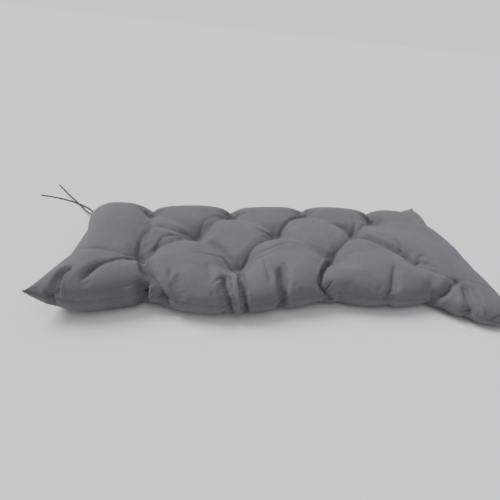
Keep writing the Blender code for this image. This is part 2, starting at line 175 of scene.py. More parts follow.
# Sharp creases, pressed in once the cloth has settled: depth, half widths to the left and right of
# the way that they run, draw in shares of the half width, shares of the run over which they fade in
# and out, then their places. What lies past the seam is on the bottom panel
NO_FADE = 1e-3
CREASES = (
    # left end
    (0.003, 0.010, 0.010, 0.15, 0.2, 0.4,
     (-0.420, -0.105), (-0.432, -0.107), (-0.453, -0.105), (-0.478, -0.096), (-0.507, -0.092),
     (-0.539, -0.095), (-0.575, -0.094)),
    (0.0045, 0.010, 0.010, 0.20, 0.1, 0.4,
     (-0.400, -0.107), (-0.425, -0.118), (-0.451, -0.137), (-0.472, -0.154), (-0.485, -0.178),
     (-0.489, -0.209), (-0.493, -0.232)),
    (0.0055, 0.010, 0.022, 0.18, 0.5, 0.4,
     (-0.475, -0.145), (-0.484, -0.166), (-0.489, -0.190), (-0.492, -0.226)),
    (0.015, 0.009, 0.019, 0.20, 0.5, 0.2,
     (-0.528, -0.178), (-0.536, -0.190), (-0.542, -0.207), (-0.538, -0.230), (-0.530, -0.257),
     (-0.523, -0.291)),
    (0.012, 0.008, 0.015, 0.20, 0.3, 0.4,
     (-0.549, -0.254), (-0.544, -0.276), (-0.540, -0.302), (-0.550, -0.348)),
    (0.005, 0.012, 0.020, 0.20, 0.3, 0.4,
     (-0.403, -0.105), (-0.412, -0.085), (-0.414, -0.050), (-0.412, -0.015), (-0.400, 0.030)),
    # between the first two tufts of the front row and those behind them
    (0.004, 0.012, 0.024, 0.20, 0.2, 0.2,
     (-0.395, -0.108), (-0.378, -0.098), (-0.368, -0.066), (-0.354, -0.024), (-0.312, -0.002),
     (-0.265, 0.018)),
    (0.010, 0.026, 0.026, 0.10, 0.3, 0.3,
     (-0.275, 0.022), (-0.328, 0.020), (-0.358, 0.030), (-0.395, 0.050)),
    (0.003, 0.012, 0.024, 0.20, 0.1, 0.1,
     (-0.259, 0.025), (-0.246, 0.065), (-0.215, 0.110), (-0.132, 0.168)),
    (0.009, 0.020, 0.014, 0.20, 0.1, 0.3,
     (-0.146, -0.124), (-0.169, -0.088), (-0.190, -0.055), (-0.222, -0.015)),
    (0.005, 0.012, 0.012, 0.15, 0.1, 0.4,
     (-0.150, -0.120), (-0.172, -0.102), (-0.222, -0.096), (-0.262, -0.096)),
    (0.005, 0.024, 0.012, 0.20, 0.1, 0.1,
     (-0.140, -0.124), (-0.118, -0.092), (-0.085, -0.045), (-0.008, 0.028)),
    (0.005, 0.014, 0.012, 0.15, 0.1, 0.3,
     (-0.138, -0.124), (-0.093, -0.086), (-0.057, -0.077), (-0.016, -0.063), (0.022, -0.058)),
    (0.010, 0.028, 0.014, 0.20, 0.4, 0.1,
     (0.005, -0.040), (0.038, -0.060), (0.070, -0.080), (0.102, -0.106), (0.135, -0.124)),
    (0.005, 0.012, 0.014, 0.20, 0.1, 0.4,
     (-0.010, 0.038), (-0.027, 0.059), (-0.042, 0.095), (-0.066, 0.122)),
    (0.005, 0.012, 0.014, 0.20, 0.1, 0.4,
     (-0.012, 0.034), (-0.049, 0.030), (-0.090, 0.046)),
    (0.006, 0.012, 0.022, 0.20, 0.1, 0.1,
     (-0.001, 0.036), (0.030, 0.078), (0.073, 0.124), (0.126, 0.174)),
    (0.006, 0.028, 0.012, 0.22, 0.1, 0.1,
     (0.141, -0.123), (0.160, -0.088), (0.200, -0.040), (0.259, 0.031)),
    (0.009, 0.014, 0.020, 0.20, 0.1, 0.4,
     (0.259, 0.040), (0.240, 0.066), (0.215, 0.078), (0.170, 0.082)),
    (0.005, 0.014, 0.014, 0.20, 0.1, 0.4,
     (0.263, 0.040), (0.276, 0.069), (0.292, 0.095), (0.300, 0.150)),
    (0.009, 0.020, 0.020, 0.20, 0.1, 0.4,
     (0.388, 0.150), (0.360, 0.158), (0.325, 0.165)),
    (0.009, 0.024, 0.014, 0.20, 0.2, 0.1,
     (0.272, 0.034), (0.296, 0.005), (0.327, -0.033), (0.351, -0.055), (0.393, -0.102)),
    (0.004, 0.012, 0.012, 0.20, 0.4, 0.1,
     (0.290, -0.060), (0.330, -0.064), (0.388, -0.096)),
    (0.005, 0.014, 0.010, 0.20, 0.1, 0.4,
     (0.402, -0.108), (0.416, -0.104), (0.430, -0.110), (0.455, -0.128)),
    (0.004, 0.010, 0.010, 0.20, 0.3, 0.4,
     (0.412, -0.098), (0.424, -0.084), (0.440, -0.074)),
    (0.004, 0.012, 0.012, 0.20, 0.1, 0.5,
     (0.397, -0.108), (0.385, -0.070), (0.388, -0.030)),
    # first drawn-in place at the front
    (0.018, 0.008, 0.018, 0.20, 0.6, 0.15,
     (-0.402, -0.104), (-0.386, -0.138), (-0.362, -0.190), (-0.338, -0.230), (-0.320, -0.262),
     (-0.303, -0.295), (-0.284, -0.328)),
    (0.030, 0.008, 0.034, 0.16, 0.35, NO_FADE,
     (-0.348, -0.245), (-0.346, -0.268), (-0.346, -0.294), (-0.345, -0.335)),
    (0.003, 0.008, 0.008, 0.15, 0.4, 0.2,
     (-0.395, -0.262), (-0.376, -0.254), (-0.355, -0.234)),
    (0.006, 0.012, 0.012, 0.15, 0.4, 0.4,
     (-0.313, -0.170), (-0.304, -0.200), (-0.300, -0.225)),
    (0.008, 0.020, 0.045, 0.10, 0.4, 0.4,
     (-0.225, -0.135), (-0.212, -0.175), (-0.205, -0.220)),
    # second
    (0.014, 0.008, 0.012, 0.22, 0.2, NO_FADE,
     (-0.174, -0.180), (-0.171, -0.200), (-0.165, -0.222), (-0.157, -0.250), (-0.149, -0.288),
     (-0.143, -0.335)),
    (0.006, 0.007, 0.008, 0.20, 0.3, 0.4,
     (-0.159, -0.178), (-0.155, -0.204), (-0.151, -0.232)),
    (0.005, 0.010, 0.010, 0.20, 0.4, 0.4,
     (-0.178, -0.186), (-0.194, -0.206), (-0.200, -0.226)),
    (0.008, 0.006, 0.008, 0.20, 0.2, 0.3,
     (-0.144, -0.122), (-0.140, -0.180), (-0.132, -0.225)),
    (0.021, 0.008, 0.019, 0.20, 0.1, NO_FADE,
     (-0.137, -0.122), (-0.132, -0.150), (-0.122, -0.203), (-0.112, -0.255), (-0.106, -0.305),
     (-0.107, -0.345)),
    # between it and the third
    (0.007, 0.011, 0.014, 0.20, 0.3, 0.4,
     (-0.073, -0.121), (-0.064, -0.178), (-0.057, -0.225)),
    (0.018, 0.010, 0.024, 0.20, 0.4, 0.15,
     (-0.028, -0.160), (-0.023, -0.193), (-0.017, -0.235), (-0.013, -0.296), (-0.022, -0.340)),
    (0.006, 0.009, 0.009, 0.20, 0.3, 0.4,
     (-0.016, -0.150), (-0.012, -0.177), (-0.007, -0.203)),
    # third
    (0.016, 0.009, 0.014, 0.22, 0.08, NO_FADE,
     (0.140, -0.118), (0.126, -0.132), (0.102, -0.167), (0.086, -0.201), (0.082, -0.250),
     (0.094, -0.283), (0.114, -0.322)),
    (0.008, 0.008, 0.009, 0.20, 0.3, 0.3,
     (0.108, -0.240), (0.102, -0.262), (0.090, -0.282)),
    (0.010, 0.008, 0.014, 0.20, 0.3, NO_FADE,
     (0.080, -0.262), (0.092, -0.290), (0.100, -0.325)),
    (0.006, 0.008, 0.008, 0.20, 0.4, 0.4,
     (0.134, -0.280), (0.135, -0.302), (0.135, -0.325)),
    # between it and the right corner
    (0.007, 0.008, 0.012, 0.22, 0.2, 0.3,
     (0.306, -0.150), (0.290, -0.183), (0.277, -0.214), (0.266, -0.248), (0.254, -0.285),
     (0.245, -0.315)),
    (0.004, 0.008, 0.008, 0.20, 0.4, 0.4,
     (0.302, -0.160), (0.300, -0.180), (0.296, -0.204)),
    (0.004, 0.008, 0.008, 0.20, 0.4, 0.4,
     (0.253, -0.274), (0.262, -0.300)),
    # right front corner
    (0.016, 0.008, 0.024, 0.20, 0.12, 0.35,
     (0.480, -0.155), (0.470, -0.168), (0.455, -0.190), (0.426, -0.236), (0.402, -0.290),
     (0.394, -0.335)),
    (0.007, 0.010, 0.012, 0.20, 0.2, 0.3,
     (0.480, -0.140), (0.479, -0.169), (0.477, -0.195), (0.470, -0.230)),
    (0.015, 0.008, 0.026, 0.22, 0.2, 0.2,
     (0.496, -0.150), (0.485, -0.192), (0.475, -0.225), (0.470, -0.285), (0.472, -0.325)),
    (0.007, 0.008, 0.010, 0.22, 0.3, 0.2,
     (0.495, -0.165), (0.497, -0.196), (0.495, -0.227), (0.499, -0.258), (0.506, -0.290)),
    (0.004, 0.010, 0.010, 0.20, 0.3, 0.4,
     (0.498, -0.158), (0.527, -0.167), (0.563, -0.176)),
    (0.006, 0.010, 0.010, 0.20, 0.3, 0.3,
     (0.509, -0.297), (0.522, -0.278), (0.545, -0.252)),
)
CREASE_SOFTNESS = 0.12   # rounding of the bottom of a crease, in half widths
CREASE_REACH = 1.7       # how far a crease's ridges reach, in half widths
RIDGE_SHARE = 0.22       # height of the ridges beside a crease, as a share of its depth
DRAW_FORM = 4.0          # so that a draw of 1 moves the cloth by up to 0.6 half widths
CALM_BLUR = 6            # times that a panel is blurred before its normals are taken

# Small creases, drawn at random within these lows and highs: pulls around each tuft, and puckers
# across the seam
RANDOM_SEED = 7
PULLS_PER_TUFT = 9
PULL_START = 0.008             # from the middle of the tuft
PULL_SCATTER = 0.35            # to each side of its even place, in shares of the spacing
PULL_LENGTH = (0.022, 0.058)
PULL_DEPTH = (0.0012, 0.0034)
PULL_WIDTH = (0.005, 0.009)
PULL_FADE_IN = 0.2
PUCKER_SPACING = 0.034
PUCKER_SCATTER = 0.4           # to each side of its even place, in shares of the spacing
PUCKER_REACH = (0.012, 0.045)  # to each side of the seam
PUCKER_LEAN = 0.010
PUCKER_DEPTH = (0.0005, 0.0019)
PUCKER_WIDTH = (0.006, 0.011)
SMALL_DRAW = 0.15
SMALL_FADE = 0.5

SEAM_GROOVE = 0.0006     # depth at the seam
SEAM_LIP = 0.0003        # height of the lip beside it
GROOVE_WIDTH = 0.006     # from the seam out to the lip

# The skin's mesh
SETTLED_CELLS = (160, 76)      # cells along and across a panel while the cloth settles
FRONT_BIAS = 0.15              # share by which the rows of cells are crowded to the front

# The cloth's settling
PRESSURE = 4.0
TENSION = 15.0
SHEAR = 5.0
BENDING = 0.5
POINT_MASS = 0.2
SETTLE_QUALITY = 5       # steps of the simulation in a frame
SETTLE_FRAMES = 20
START_INSET = 0.003      # the top panel starts this far in, since the fill presses it out
SPARE_CLOTH = 0.022      # the cloth is longer than its mesh by this share
SETTLE_LIMIT = 0.007     # no point moves further
SEAM_EASE = 0.06         # distance from the seam at which the cloth moves in full
SEAM_GIVE = 0.6          # share of the move that is left at the seam

# What is held as it settles, 1 where it can't move
HOLD_SEAM = 0.2
HOLD_VALLEY = 0.3
HOLD_FOLD = 0.6
TUFT_HOLD = 0.008          # radius around a tuft that is held still
HELD_VALLEY_DEPTH = 0.015  # a valley is held from here on, in full at twice the depth
HELD_FOLD_DEPTH = 0.010    # a fold is held in full at this depth
LEAST_HOLD = 0.01          # less counts as free
TINY = 1e-6                # a distance that counts as none

# Camera, in the seam's own places
CAMERA_PLACE = (-0.225, -0.854, 0.610)
CAMERA_YAW = 9.88        # degrees, to the right
CAMERA_DOWN = 33.88
CAMERA_ROLL = 6.23
CAMERA_LENS = 23.82      # mm
CAMERA_SENSOR = 36.0

# Light: a broad sun from behind on the left, a room that is brighter overhead, and a horizon as
# bright as the floor
SUN_WAY = (-0.56, 0.38, 0.73)
SUN_SPREAD = 32.0              # degrees
SUN_LIGHT = 3.05
ROOM_LIGHT = (0.125, 0.95)     # at the horizon and overhead
HORIZON_LIGHT = 1.05
HORIZON_FADE = (0.09, 0.18)    # sines of the heights between which the horizon's light fades
FLOOR_HALF = 80.0
FLOOR_DROP = 0.0002            # under the cushion
FLOOR_COLOUR = (0.80, 0.80, 0.81)
FLOOR_ROUGHNESS = 0.9

# Cloth of the cover: plain weave of thick and thin yarns, all sizes in metres
SPOTS = "cloth_place"          # name of the attribute that holds each point's place on the cloth
COVER_COLOUR = (0.124, 0.122, 0.140)
COVER_PITCH = 0.0012
COVER_THREAD_RISE = 0.00016
WEAVE_CREST = 0.7              # height share of a thread from which its tone stays the same
WEAVE_SHADE_AND_HIGHLIGHT = (0.80, 1.06)      # painted shade between the threads and painted highlight on their crests
NOISE_DETAIL = 2.0
NOISE_SPREAD = (0.3, 0.7)      # where most of a noise's strength lies
SLUB_LENGTH = 18               # in thread widths
SLUB_TONE = 0.16
BLOTCH_SIZE = 0.09
BLOTCH_DETAIL = 3.0
BLOTCH_TONE = 0.07
SEAM_BAND = (0.00045, 0.0015)  # distances from the seam between which its dark thread and painted shade fade
# tone of the dark thread and painted shade at the seam
SEAM_THREAD_AND_SHADE_TONE = 0.90
CLOTH_ROUGHNESS = (0.78, 0.95)
CLOTH_SHEEN = 0.12
SHEEN_ROUGHNESS = 0.5
CLOTH_SPECULAR = 0.25

TAPE_COLOUR = (0.050, 0.049, 0.055)
TAPE_PITCH = 0.0008
TAPE_THREAD_RISE = 0.00012
THREAD_COLOUR = (0.085, 0.083, 0.094)
THREAD_TWIST = 0.0011          # length of one turn of the thread's plies
THREAD_PLIES = 2.0
PLY_SHADE_AND_HIGHLIGHT = (0.75, 1.15)        # painted shade between the plies and painted highlight on them
PLY_RISE = 0.000175

# Tuft stitches: bars of thread side by side, over each panel
BARS_PER_TUFT = 3
BAR_LENGTH = 0.0085
BAR_SPACING = 0.0015
BAR_RADIUS = 0.0007
BAR_RISE = 0.0013        # how far a bar's middle stands out of the cloth, and its ends lie in it
BAR_STEPS = 10
BAR_CORNERS = 8

# Ties: flat tape, on the middle line of the round ties that it replaces
TIE_RADIUS = 0.0025
TIE_GAP = 0.0003
TIE_STRAIGHT = 0.010                    # first run, straight out of the seam's corner
TIE_OUT = np.array((-0.6, 0.8, 0.0))
TIE_ACROSS = np.array((0.8, 0.6, 0.0))
FLOOR_HEIGHT = TIE_RADIUS + TIE_GAP     # of a tie's middle where it lies on the floor
TIE_FINE_STEPS = 24                     # to each stretch, before the route is spaced evenly
TAPE_WIDTH = 0.006
TAPE_THICKNESS = 0.0011
TAPE_STEP = 0.004
# Upper half of the tape's section, edge to edge: shares of the half width and half thickness
TAPE_SECTION = ((1.0, 0.45), (0.92, 1.0), (0.76, 1.0), (0.64, 0.62), (0.0, 0.62), (-0.64, 0.62),
                (-0.76, 1.0), (-0.92, 1.0), (-1.0, 0.45))

# Routes after the straight run, in the seam's own places: x, y, height of the tie's middle.
# The longer one crosses over the shorter one
LONG_TIE = (
    (-0.625, 0.244, 0.013),
    (-0.644, 0.270, 0.009),
    (-0.668, 0.302, 0.010),
    (-0.698, 0.341, 0.010),
    (-0.728, 0.383, 0.006),
    (-0.756, 0.423, FLOOR_HEIGHT),
    (-0.784, 0.462, FLOOR_HEIGHT),
    (-0.809, 0.497, FLOOR_HEIGHT),
)
SHORT_TIE = (
    (-0.614, 0.249, 0.011),
    (-0.626, 0.277, 0.004),
    (-0.649, 0.304, FLOOR_HEIGHT),
    (-0.698, 0.341, FLOOR_HEIGHT),
    (-0.750, 0.368, FLOOR_HEIGHT),
    (-0.798, 0.386, FLOOR_HEIGHT),
    (-0.843, 0.398, FLOOR_HEIGHT),
)

# The frame's origin in the seam's own places, by the corners that lie furthest right and back
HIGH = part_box("cushion")[1]
CENTRE = np.array((FRONT_SEAM[-1][0] - HIGH.x, BACK_SEAM[-1][1] - HIGH.y, 0.0))


def turned_down(share, half, shoulder):
    """Plan share, and what is left of the height, at a share of the way from middle to seam."""
    plan_start = 1 - shoulder / half
    cloth_start = plan_start / (plan_start + (1 - plan_start) * ROUND_SHARE)
    size = np.abs(share)
    angle = np.clip((size - cloth_start) / (1 - cloth_start), 0, 1) * np.pi / 2
    round_part = plan_start + (1 - plan_start) * np.sin(angle)
    place = np.where(size <= cloth_start, size * plan_start / cloth_start, round_part)
    return np.sign(share) * place, np.cos(angle)


def seam_side(stations, axis, outward, share):
    """Points on one side of the seam at shares of the way along axis, 0 for x and 1 for y."""
    table = np.array(stations)
    knots = (table[:, axis] - table[0, axis]) / (table[-1, axis] - table[0, axis])
    first = np.clip(np.searchsorted(knots, share, side="right") - 1, 0, len(table) - 2)
    along = (share - knots[first]) / (knots[first + 1] - knots[first])
    line = table[first, :3] + (table[first + 1, :3] - table[first, :3]) * along[..., None]
    bow = table[first, 3] * (1 - (2 * along - 1) ** 2)
    return line + bow[..., None] * np.array(outward)


def seam_sheet(across, back):
    """The sheet stretched inside the seam outline, at shares 0 to 1 in x and y."""
    front_side = seam_side(FRONT_SEAM, 0, (0, -1, 0), across)
    back_side = seam_side(BACK_SEAM, 0, (0, 1, 0), across)
    left_side = seam_side(LEFT_SEAM, 1, (-1, 0, 0), back)
    right_side = seam_side(RIGHT_SEAM, 1, (1, 0, 0), back)
    across = across[..., None]
    back = back[..., None]
    front_row = (1 - across) * np.array(FRONT_SEAM[0][:3]) + across * np.array(FRONT_SEAM[-1][:3])
    back_row = (1 - across) * np.array(BACK_SEAM[0][:3]) + across * np.array(BACK_SEAM[-1][:3])
    long_way = (1 - back) * front_side + back * back_side
    cross_way = (1 - across) * left_side + across * right_side
    return long_way + cross_way - (1 - back) * front_row - back * back_row


def smooth_route(points, steps):
    """Points on a smooth curve through the given ones, a Catmull-Rom spline."""
    given = np.array(points, dtype=float)
    ends = 2 * given[0] - given[1], 2 * given[-1] - given[-2]
    padded = np.vstack((ends[0], given, ends[1]))
    route = []
    for before, start, end, after in zip(padded, padded[1:], padded[2:], padded[3:]):
        for share in np.arange(steps) / steps:
            bend = 2 * before - 5 * start + 4 * end - after
            twist = 3 * (start - end) + after - before
            route.append(start + 0.5 * share * (end - before + share * (bend + share * twist)))
    route.append(given[-1])
    return np.array(route)


def nearest(x, y, route):
    """Distance to a route, share along it of the nearest place, way there and side of the route."""
    best = np.full_like(x, np.inf)
    share = np.zeros_like(x)
    way = np.zeros((*x.shape, 2))
    side = np.zeros_like(x)
    count = len(route) - 1
    for step in range(count):
        start = route[step]
        run = route[step + 1] - start
        along = np.clip(((x - start[0]) * run[0] + (y - start[1]) * run[1]) / (run @ run), 0, 1)
        gap = np.stack((start[0] + along * run[0] - x, start[1] + along * run[1] - y), axis=-1)
        distance = np.linalg.norm(gap, axis=-1)
        closer = distance < best
        best = np.where(closer, distance, best)
        share = np.where(closer, (step + along) / count, share)
        way = np.where(closer[..., None], gap, way)
        side = np.where(closer, np.sign(gap[..., 0] * run[1] - gap[..., 1] * run[0]), side)
    return best, share, way / np.maximum(best, TINY)[..., None], side


def valleys():
    """Each valley's route and form."""
    lines = []
    for row in ROWS:
        for start, end in zip(row, row[1:]):
            lines.append((np.array((TUFTS[start], TUFTS[end])), SLANT_VALLEY))
    lines.append((np.array((TUFTS["A1"], TUFTS["C1"])), LEFT_CROSS_VALLEY))
    lines.append((np.array((TUFTS["A4"], TUFTS["C4"])), RIGHT_CROSS_VALLEY))
    for tuft, reach, *places in SEAM_VALLEYS:
        route = smooth_route((TUFTS[tuft], *places), ROUTE_STEPS)
        lines.append((route, (*SEAM_VALLEY_DEPTHS, reach)))
    return lines


def valley_depth(x, y):
    """Depth of the valleys, round-backed between them and nearly sharp along them."""
    total = np.zeros_like(x)
    for route, (end_depth, middle_depth, reach) in valleys():
        distance, share = nearest(x, y, route)[:2]
        depth = middle_depth + (end_depth - middle_depth) * (2 * share - 1) ** 2
        near = np.clip(np.hypot(distance / reach, VALLEY_SOFTNESS), 0, 1)
        total += (depth * (1 - np.sqrt(1 - (1 - near) ** 2))) ** VALLEY_BLEND
    return total ** (1 / VALLEY_BLEND)


def fold_depth(x, y):
    """Depth of the loose folds, which start softly and run on to their other end."""
    total = np.zeros_like(x)
    for depth, half_width, *places in FOLDS:
        distance, share = nearest(x, y, smooth_route(places, ROUTE_STEPS))[:2]
        side = np.clip(1 - (distance / half_width) ** 2, 0, 1) ** 2
        total += depth * side * np.sin(np.pi / 2 * np.clip(FOLD_GROWTH * share, 0, 1))
    return total


def normals(points):
    """Upward unit normals of a grid of points."""
    cross = np.cross(np.gradient(points, axis=0), np.gradient(points, axis=1))
    return cross / np.linalg.norm(cross, axis=-1, keepdims=True)


def crown_height(x, y):
    """Height of the top panel above the seam, with the swells of the fill."""
    height = np.full_like(x, CROWN)
    for swell_x, swell_y, extra, radius in SWELLS:
        height += extra * np.exp(-((x - swell_x) ** 2 + (y - swell_y) ** 2) / radius ** 2)
    return height


def corner_fullness(x, y):
    """Share of the height that is left near the corners."""
    fullness = np.ones_like(x)
    for side_x, side_y, loss, radius in EARS:
        away = np.hypot(x - side_x * CLOTH_END, y - side_y * CLOTH_SIDE)
        fullness *= 1 - loss * np.exp(-(away / radius) ** 2)
    return fullness


def panels(long_cells, cross_cells):
    """Point grids of the top and bottom panels, which share the seam's points, and cloth places."""
    long_share = np.linspace(-1, 1, long_cells + 1)
    cross_share = np.linspace(-1, 1, cross_cells + 1)
    cross_share -= FRONT_BIAS * (1 - cross_share ** 2)
    long_share, cross_share = np.meshgrid(long_share, cross_share, indexing="ij")
    plan_x, high_x = turned_down(long_share, LENGTH / 2, END_SHOULDER)
    plan_y, high_y = turned_down(cross_share, WIDTH / 2, SIDE_SHOULDER)
    sheet = seam_sheet((plan_x + 1) / 2, (plan_y + 1) / 2)
    height = high_x * high_y
    x = long_share * CLOTH_END
    y = cross_share * CLOTH_SIDE
    fullness = corner_fullness(x, y)
    valley = (valley_depth(x, y) * height ** SEAM_FADE)[..., None]
    fold = fold_depth(x, y)[..., None]
    under = 1 - height[..., None]

    top = sheet.copy()
    top[..., 2] += crown_height(x, y) * fullness * height ** TOP_ROUNDNESS
    top -= normals(top) * (valley + fold)

    bottom = sheet.copy()
    drop = (sheet[..., 2] + SINK) * fullness ** UNDER_FULLNESS
    bottom[..., 2] -= drop * height ** BOTTOM_ROUNDNESS
    bottom += normals(bottom) * (valley * BOTTOM_SHARE + fold * under)
    bottom[..., 2] = np.maximum(bottom[..., 2], 0)
    return top, bottom, np.stack((x, y), axis=-1)


def skin(top, bottom):
    """Points and faces of both panels as one skin, and each panel's grid of point numbers."""
    grid = np.arange(top[..., 0].size).reshape(top.shape[:2])
    inner = grid[1:-1, 1:-1].ravel()
    under = grid.copy()
    under[1:-1, 1:-1] = (grid.size + np.arange(len(inner))).reshape(grid[1:-1, 1:-1].shape)
    points = np.concatenate((top.reshape(-1, 3), bottom.reshape(-1, 3)[inner]))

    def quads(numbers):
        corners = (numbers[:-1, :-1], numbers[1:, :-1], numbers[1:, 1:], numbers[:-1, 1:])
        return np.stack([corner.ravel() for corner in corners], axis=1)

    faces = np.concatenate((quads(grid), quads(under)[:, ::-1]))
    return points, faces, grid, under


def new_object(name, points, faces):
    mesh = bpy.data.meshes.new(name)
    mesh.from_pydata(points.tolist(), [], [tuple(face) for face in faces])
    item = bpy.data.objects.new(name, mesh)
    bpy.context.scene.collection.objects.link(item)
    return item


def read_points(mesh):
    points = np.zeros(len(mesh.vertices) * 3)
    mesh.vertices.foreach_get("co", points)
    return points.reshape(-1, 3)


def name_spots(item, spots):
    """Gives each point its place on the cloth, which the materials follow."""
    layer = item.data.attributes.new(SPOTS, "FLOAT_VECTOR", "POINT")
    layer.data.foreach_set("vector", np.asarray(spots, dtype=np.float32).ravel())


def dress(item, material):
    """Gives a piece its material, and carries it on the root."""
    item.data.materials.append(material)
    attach(item, "root")


def tube_faces(first, rings, corners):
    """Faces of a tube with closed ends, from rings of points one after the other."""
    faces = []
    for i in range(first, first + (rings - 1) * corners, corners):
        for j in range(corners):
            k = (j + 1) % corners
            faces.append((i + j, i + k, i + corners + k, i + corners + j))
    last = first + (rings - 1) * corners
    start, end = range(first, first + corners), range(last, last + corners)
    return [*faces, tuple(reversed(start)), tuple(end)]


def seam_distance(places):
    """How far each point is from the seam, measured along the cloth."""
    return np.minimum(CLOTH_END - np.abs(places[..., 0]), CLOTH_SIDE - np.abs(places[..., 1]))


def held_weight(bottom, places):
    """How firmly each point of both panels is held: at the seam, tufts, valleys, folds and base."""
    x, y = places[..., 0], places[..., 1]
    weight = np.where(seam_distance(places) < TINY, HOLD_SEAM, 0)
    for place in TUFTS.values():
        weight[np.hypot(x - place[0], y - place[1]) < TUFT_HOLD] = 1
    valley = np.clip((valley_depth(x, y) - HELD_VALLEY_DEPTH) / HELD_VALLEY_DEPTH, 0, 1)
    fold = np.clip(fold_depth(x, y) / HELD_FOLD_DEPTH, 0, 1)
    over = np.maximum(weight, np.maximum(valley * HOLD_VALLEY, fold * HOLD_FOLD))
    under = np.maximum(weight, np.where(bottom[..., 2] <= 0, 1, 0))
    return over, under


def cloth_move(points, faces, held):
    """How far each point moves while the skin settles under the fill's pressure."""
    trial = new_object("settling", points, faces)
    group = trial.vertex_groups.new(name="held")
    for number, weight in enumerate(held.tolist()):
        if weight > LEAST_HOLD:
            group.add([number], weight, "REPLACE")
    modifier = trial.modifiers.new("settle", "CLOTH")
    modifier.collision_settings.use_collision = False
    settings = modifier.settings
    settings.quality = SETTLE_QUALITY
    settings.mass = POINT_MASS
    settings.tension_stiffness = TENSION
    settings.compression_stiffness = TENSION
    settings.shear_stiffness = SHEAR
    settings.bending_stiffness = BENDING
    settings.use_pressure = True
    settings.uniform_pressure_force = PRESSURE
    settings.vertex_group_mass = group.name
    settings.effector_weights.gravity = 0
    settings.shrink_min = -SPARE_CLOTH
    for step in range(1, SETTLE_FRAMES + 1):
        bpy.context.scene.frame_set(step)
    settled = read_points(trial.evaluated_get(bpy.context.evaluated_depsgraph_get()).data)
    bpy.context.scene.frame_set(1)
    bpy.data.objects.remove(trial)
    return settled - points


def settle(top, bottom, places):
    """Both panels after the cloth has settled, with no point moved further than the limit."""
    points, faces, over, under = skin(top, bottom)
    held = np.zeros(len(points))
    held[over], held[under] = held_weight(bottom, places)
    move = cloth_move(points, faces, held)
    size = np.linalg.norm(move, axis=1, keepdims=True)
    move /= np.sqrt(1 + (size / SETTLE_LIMIT) ** 2)
    free = np.clip(seam_distance(places) / SEAM_EASE, 0, 1)[..., None]
    free = SEAM_GIVE + (1 - SEAM_GIVE) * free * (2 - free)
    settled_bottom = bottom + move[under] * free
    settled_bottom[..., 2] = np.maximum(settled_bottom[..., 2], 0)
    return top + move[over] * free, settled_bottom


def finer(grid):
    """A grid with a point between each two, by the four-point rule: -1, 9, 9 and -1 sixteenths."""
    for axis in (0, 1):
        rows = np.moveaxis(grid, axis, 0)
        padded = np.concatenate((2 * rows[:1] - rows[1:2], rows, 2 * rows[-1:] - rows[-2:-1]))
        middles = (9 * (padded[1:-2] + padded[2:-1]) - padded[:-3] - padded[3:]) / 16
        mixed = np.empty((2 * len(rows) - 1, *rows.shape[1:]))
        mixed[::2] = rows
        mixed[1::2] = middles
        grid = np.moveaxis(mixed, 0, axis)
    return grid


def crease_moves(x, y, creases):
    """Depth of the sharp creases, and how far the cloth is drawn in towards them in x and y."""
    depth = np.zeros_like(x)
    drawn = np.zeros((*x.shape, 2))
    for deep, left_width, right_width, draw, fade_in, fade_out, *places in creases:
        route = smooth_route(places, ROUTE_STEPS)
        reach = CREASE_REACH * max(left_width, right_width)
        low, high = route.min(axis=0) - reach, route.max(axis=0) + reach
        near = (x > low[0]) & (x < high[0]) & (y > low[1]) & (y < high[1])
        if not near.any():
            continue
        distance, share, way, side = nearest(x[near], y[near], route)
        fade = np.clip(np.minimum(share / fade_in, (1 - share) / fade_out), 0, 1)
        fade = fade * (2 - fade)
        width = np.where(side > 0, left_width, right_width)
        across = distance / width
        trough = np.clip(1 - np.hypot(across, CREASE_SOFTNESS), 0, 1) ** 2
        ridge = np.clip(1 - np.abs(across - 1) / (CREASE_REACH - 1), 0, 1) ** 2 * RIDGE_SHARE
        depth[near] += deep * fade * (trough - ridge)
        pull = draw * width * fade * DRAW_FORM * across * np.clip(1 - across, 0, 1) ** 2
        drawn[near] += way * pull[..., None]
    return depth, drawn


def blurred(grid, times):
    """A grid of points with each one moved towards its neighbours, a number of times."""
    for _ in range(times):
        for axis in (0, 1):
            rows = np.moveaxis(grid, axis, 0).copy()
            rows[1:-1] = (rows[:-2] + 2 * rows[1:-1] + rows[2:]) / 4
            grid = np.moveaxis(rows, 0, axis)
    return grid


def between(random, limits):
    """A number drawn evenly between a low and a high."""
    return random.uniform(*limits)


def pulls(random):
    """Small creases that run out from each tuft."""
    rows = []
    for place in TUFTS.values():
        turn = random.uniform(0, 2 * math.pi)
        for number in range(PULLS_PER_TUFT):
            place_in_ring = number + random.uniform(-PULL_SCATTER, PULL_SCATTER)
            angle = turn + place_in_ring * 2 * math.pi / PULLS_PER_TUFT
            way = np.array((math.cos(angle), math.sin(angle)))
            start = np.array(place) + way * PULL_START
            end = start + way * between(random, PULL_LENGTH)
            width = between(random, PULL_WIDTH)
            depth = between(random, PULL_DEPTH)
            rows.append((depth, width, width, SMALL_DRAW, PULL_FADE_IN, SMALL_FADE, start, end))
    return rows


def puckers(random):
    """Small creases across the seam, all the way round."""
    rows = []
    sides = (
        (CLOTH_END, np.array((1, 0)), np.array((0, 1)), CLOTH_SIDE),
        (CLOTH_SIDE, np.array((0, 1)), np.array((1, 0)), CLOTH_END),
    )
    for half, along, out, edge in sides:
        for sign in (-1, 1):
            for place in np.arange(-half + PUCKER_SPACING, half - PUCKER_SPACING, PUCKER_SPACING):
                place += random.uniform(-PUCKER_SCATTER, PUCKER_SCATTER) * PUCKER_SPACING
                inner, outer = between(random, PUCKER_REACH), between(random, PUCKER_REACH)
                lean = along * random.uniform(-PUCKER_LEAN, PUCKER_LEAN)
                middle = along * place + out * sign * edge
                start = middle - out * sign * inner - lean
                end = middle + out * sign * outer + lean
                width = between(random, PUCKER_WIDTH)
                depth = between(random, PUCKER_DEPTH)
                rows.append((depth, width, width, SMALL_DRAW, SMALL_FADE, SMALL_FADE,
                             start, middle, end))
    return rows


